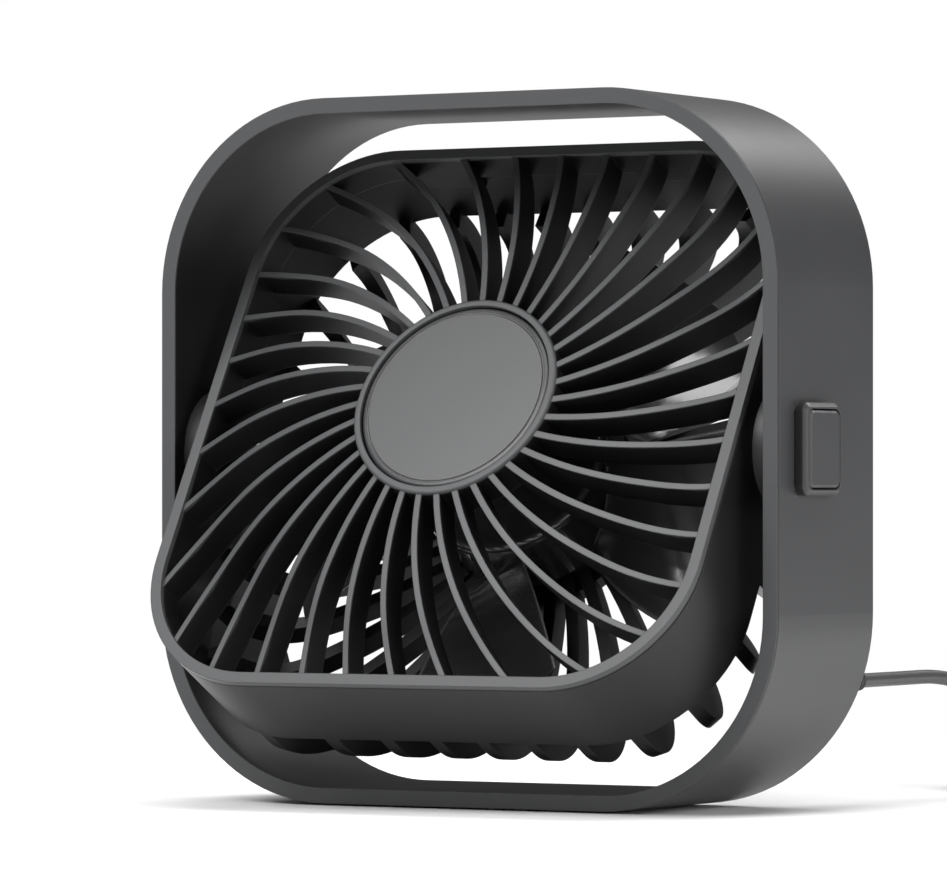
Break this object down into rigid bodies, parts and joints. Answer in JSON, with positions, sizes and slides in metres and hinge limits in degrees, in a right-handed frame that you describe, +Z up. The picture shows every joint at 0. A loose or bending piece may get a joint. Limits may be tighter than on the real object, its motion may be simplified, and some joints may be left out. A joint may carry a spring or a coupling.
{
  "type": "desk fan",
  "caption": "Square-framed USB desk fan: a tilting square head with spiral grille, spinning impeller, side power button and a coiled cord with a plug.",
  "frame": {"origin": "middle of the frame's base, on the surface it stands on", "axes": "+Z up, -Y the way the fan blows, +X the side with the power button"},
  "size_m": [0.1621, 0.2153, 0.1464],
  "materials": {
    "frame_plastic": "fine satin",
    "head_plastic": "fine satin",
    "cap_plastic": "smooth satin",
    "impeller_plastic": "gloss",
    "inner_plastic": "matt",
    "washer_plastic": "natural",
    "rubber_black": "matt",
    "cord_jacket": "satin",
    "plug_plastic": "matt",
    "contact_white": "plain",
    "steel": "turned",
    "nickel": "plated",
    "brass": "plain",
    "copper_core": "varnished windings",
    "board_green": "solder mask",
    "magnet_grey": "bonded ferrite"
  },
  "bodies": {
    "frame": {"frame_skin": "frame_plastic", "frame_liner": "frame_plastic", "foot_strips": "rubber_black", "pivot_pod_right": "inner_plastic", "pivot_pod_left": "inner_plastic", "pivot_pin_right": "steel", "pivot_pin_left": "steel", "pivot_washer_right": "washer_plastic", "pivot_washer_left": "washer_plastic", "pivot_clip_right": "steel", "pivot_clip_left": "steel", "button_bezel": "frame_plastic", "switch_board": "board_green", "tact_switch": "inner_plastic", "cord_gland": "frame_plastic", "strain_relief": "rubber_black", "cord_lead": "cord_jacket", "cord_coil": "cord_jacket", "cord_tail": "cord_jacket", "cord_tie": "rubber_black", "plug_neck": "plug_plastic", "plug_body": "plug_plastic", "usb_shell": "nickel", "usb_tongue": "contact_white", "usb_contacts": "brass"},
    "power_button": {"power_button": "frame_plastic", "switch_plunger": "inner_plastic"},
    "head": {"front_cover": "head_plastic", "hub_cap": "cap_plastic", "rear_shell": "head_plastic", "motor_base": "steel", "motor_board": "board_green", "bearing_sleeve": "brass", "stator": "copper_core", "motor_screws": "steel"},
    "impeller": {"impeller": "impeller_plastic", "rotor_yoke": "steel", "magnet_ring": "magnet_grey", "rotor_shaft": "steel"}
  },
  "joints": [
    {"name": "head_tilt", "type": "hinge", "parent": "frame", "child": "head", "pos_m": [0, -0.0044, 0.0734], "axis": [1, 0, 0], "range_deg": [-150, 210]},
    {"name": "impeller_spin", "type": "hinge", "parent": "head", "child": "impeller", "pos_m": [0, -0.0044, 0.0734], "axis": [0, -0.866, 0.5], "continuous": true},
    {"name": "power_press", "type": "slide", "parent": "frame", "child": "power_button", "axis": [-1, 0, 0], "range_m": [0, 0.0005], "stiffness_N_per_m": 2000}
  ]
}
